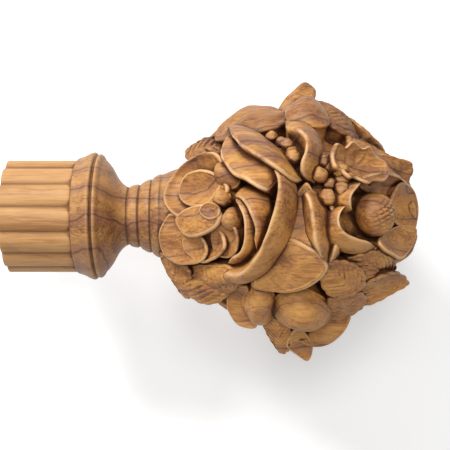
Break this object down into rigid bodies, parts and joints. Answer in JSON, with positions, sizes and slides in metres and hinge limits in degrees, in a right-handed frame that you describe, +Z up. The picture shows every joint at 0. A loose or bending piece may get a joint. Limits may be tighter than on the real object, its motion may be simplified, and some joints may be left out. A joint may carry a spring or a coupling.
{
  "type": "curtain pole finial",
  "caption": "Reeded wooden curtain pole end with a turned collar and neck and a carved flower bouquet finial that unscrews.",
  "frame": {"origin": "centre of the pole's plain end face", "axes": "+X along the pole's axis, from the plain end to the finial's tip; +Z up; -Y is the front"},
  "size_m": [0.1796, 0.1126, 0.1203],
  "materials": {
    "pole_wood": "satin, straight pale grain along the pole",
    "neck_wood": "satin, brown with dark veins",
    "carved_wood": "satin, golden brown, lighter on worn edges",
    "core_wood": "stained dark between the carvings",
    "insert_brass": "turned",
    "bolt_steel": "zinc plated",
    "washer_fibre": "pressed fibre"
  },
  "bodies": {
    "pole_body": {"pole": "pole_wood", "threaded_insert": "insert_brass"},
    "washer_body": {"collar_washer": "washer_fibre"},
    "finial_body": {"back_blooms": "carved_wood", "back_leaves": "carved_wood", "back_rose": "carved_wood", "bottom_bloom": "carved_wood", "bottom_bud": "carved_wood", "bottom_left_leaf": "carved_wood", "bottom_right_leaf": "carved_wood", "bottom_tip_leaf": "carved_wood", "bud_sheath": "carved_wood", "crown_leaves": "carved_wood", "curled_left_leaf": "carved_wood", "curled_tip_leaf": "carved_wood", "hanger_bolt": "bolt_steel", "head_core": "core_wood", "keel_leaves": "carved_wood", "left_leaf": "carved_wood", "left_side_leaf": "carved_wood", "long_leaf": "carved_wood", "rose_heart_boss": "carved_wood", "rose_heart_bud": "carved_wood", "rose_heart_petal": "carved_wood", "rose_inner_wrap": "carved_wood", "rose_middle_wrap": "carved_wood", "rose_outer_petal_lower": "carved_wood", "rose_outer_petal_upper": "carved_wood", "rose_outer_wrap": "carved_wood", "rose_petal_bottom": "carved_wood", "rose_petal_low": "carved_wood", "rose_petal_lower": "carved_wood", "rose_petal_top": "carved_wood", "rose_petal_upper": "carved_wood", "rose_top_wrap": "carved_wood", "rose_upper_wrap": "carved_wood", "scalloped_leaf": "carved_wood", "seed_flower_base_petal": "carved_wood", "seed_flower_left_petal": "carved_wood", "seed_flower_low_petal": "carved_wood", "seed_flower_right_petal": "carved_wood", "seed_flower_top_petal": "carved_wood", "seed_flower_under_petal": "carved_wood", "seed_head": "carved_wood", "side_berries": "carved_wood", "skirt_back_ridge": "carved_wood", "skirt_hollow_petal": "carved_wood", "skirt_ridge": "carved_wood", "skirt_shell": "carved_wood", "tip_rosette": "carved_wood", "top_bud": "carved_wood", "top_leaf": "carved_wood", "top_left_leaf": "carved_wood", "top_rear_petal": "carved_wood", "top_right_leaf": "carved_wood", "turned_neck": "neck_wood", "under_tip_leaf": "carved_wood", "upper_berries": "carved_wood", "veined_leaf_lower": "carved_wood", "veined_leaf_upper": "carved_wood"}
  },
  "joints": [
    {"name": "finial_advance", "type": "slide", "parent": "pole_body", "child": "washer_body", "axis": [1, 0, 0], "range_m": [0, 0.0122]},
    {"name": "finial_turn", "type": "hinge", "parent": "washer_body", "child": "finial_body", "pos_m": [0.03005, 0, 0], "axis": [1, 0, 0], "range_deg": [0, 3456]}
  ],
  "couplings": [
    {"joint": "finial_advance", "follows": "finial_turn", "m_per_rad": 0.00019894}
  ]
}
